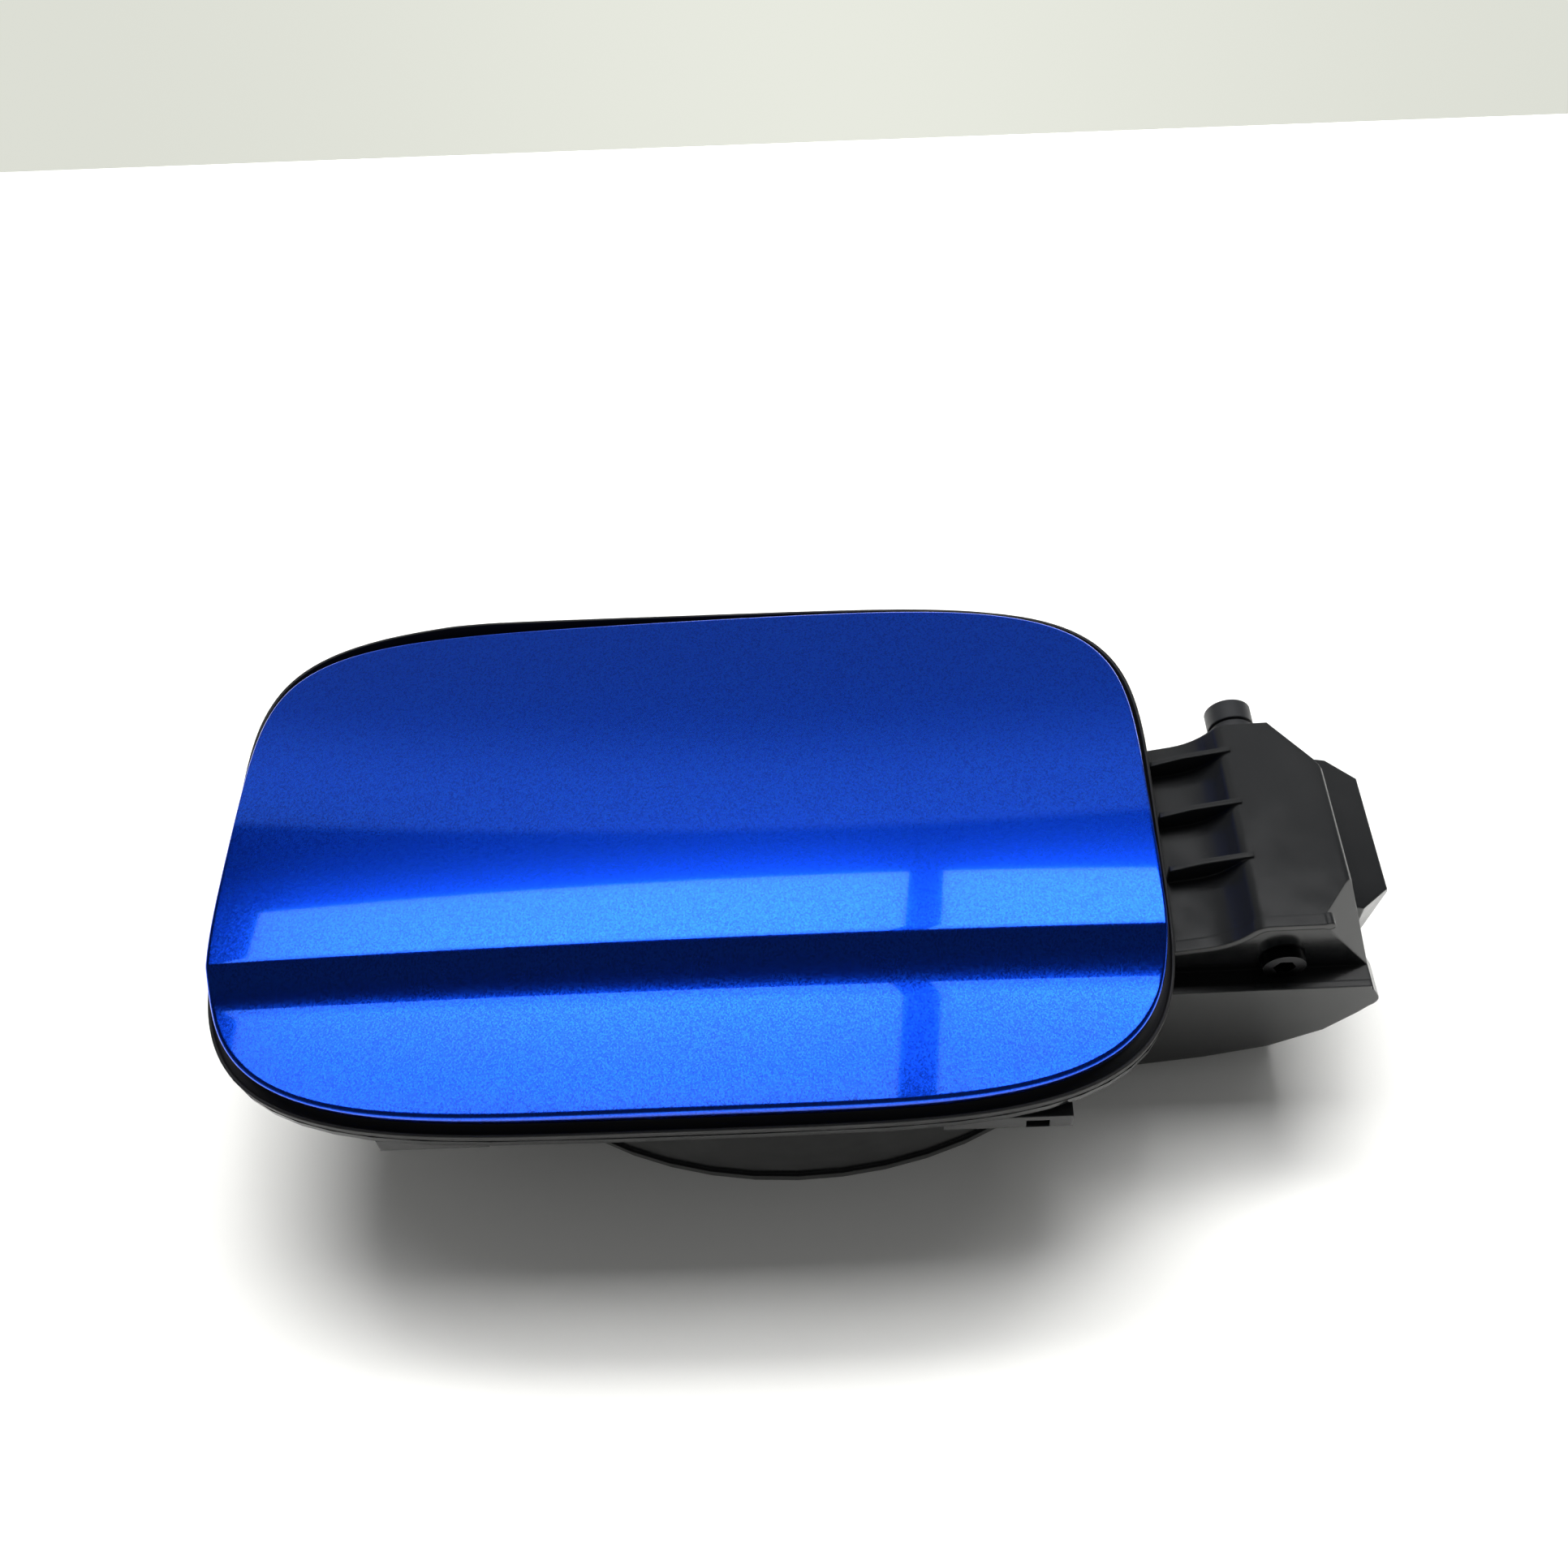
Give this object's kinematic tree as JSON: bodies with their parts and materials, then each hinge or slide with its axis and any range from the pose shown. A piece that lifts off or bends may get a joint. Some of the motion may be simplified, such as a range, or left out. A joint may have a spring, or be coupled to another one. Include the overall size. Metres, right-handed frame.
{
  "type": "car fuel door",
  "caption": "Car fuel door on a swan-neck hinge over a moulded filler pocket, with a rim seal, a neck collar and a push-push latch.",
  "frame": {"origin": "middle of the filler-neck bore, on the plane that the pocket's foot rests on", "axes": "+X to the hinge, +Y to the door's back edge, +Z out through the door"},
  "size_m": [0.2463, 0.1246, 0.0635],
  "materials": {
    "blue_paint": "metallic blue base coat under gloss clear coat",
    "inner_paint": "thin blue overspray",
    "black_moulding": "fine-grained glass-filled moulding",
    "arm_moulding": "semi-matt moulding",
    "seal_rubber": "soft matt rubber",
    "neck_rubber": "soft matt rubber",
    "dark_steel": "blackened turned steel",
    "screw_steel": "zinc plated",
    "spring_steel": "cold-rolled spring steel",
    "bush_plastic": "natural acetal",
    "plunger_plastic": "natural acetal",
    "hammer_zinc": "die-cast zinc"
  },
  "bodies": {
    "pocket": {"housing": "black_moulding", "rim_seal": "seal_rubber", "neck_seal": "neck_rubber", "hinge_pin": "dark_steel", "pin_cap": "arm_moulding", "leaf_spring": "spring_steel", "stop_buffers": "seal_rubber", "latch_body": "arm_moulding", "latch_cover": "arm_moulding", "latch_wiper": "seal_rubber", "latch_screws": "screw_steel", "latch_spring": "spring_steel"},
    "door": {"door_skin": "blue_paint", "inner_panel": "inner_paint", "hinge_arm": "arm_moulding", "arm_screws": "screw_steel", "arm_bushes": "bush_plastic", "latch_striker": "arm_moulding", "striker_screws": "screw_steel", "cap_holder": "arm_moulding"},
    "plunger": {"latch_plunger": "plunger_plastic"},
    "hammer": {"latch_hammer": "hammer_zinc"}
  },
  "joints": [
    {"name": "door_hinge", "type": "hinge", "parent": "pocket", "child": "door", "pos_m": [0.102, 0, 0.0437], "axis": [0, 1, 0], "range_deg": [0, 90]},
    {"name": "plunger_slide", "type": "slide", "parent": "pocket", "child": "plunger", "axis": [0, 0, 1], "range_m": [0, 0.008], "deforming": ["latch_spring"]},
    {"name": "hammer_turn", "type": "hinge", "parent": "plunger", "child": "hammer", "pos_m": [-0.0935, -0.0005, 0.05], "axis": [0, 0, 1], "range_deg": [0, 90]}
  ],
  "couplings": [
    {"joint": "plunger_slide", "follows": "door_hinge", "m_per_rad": 0.00509}
  ]
}
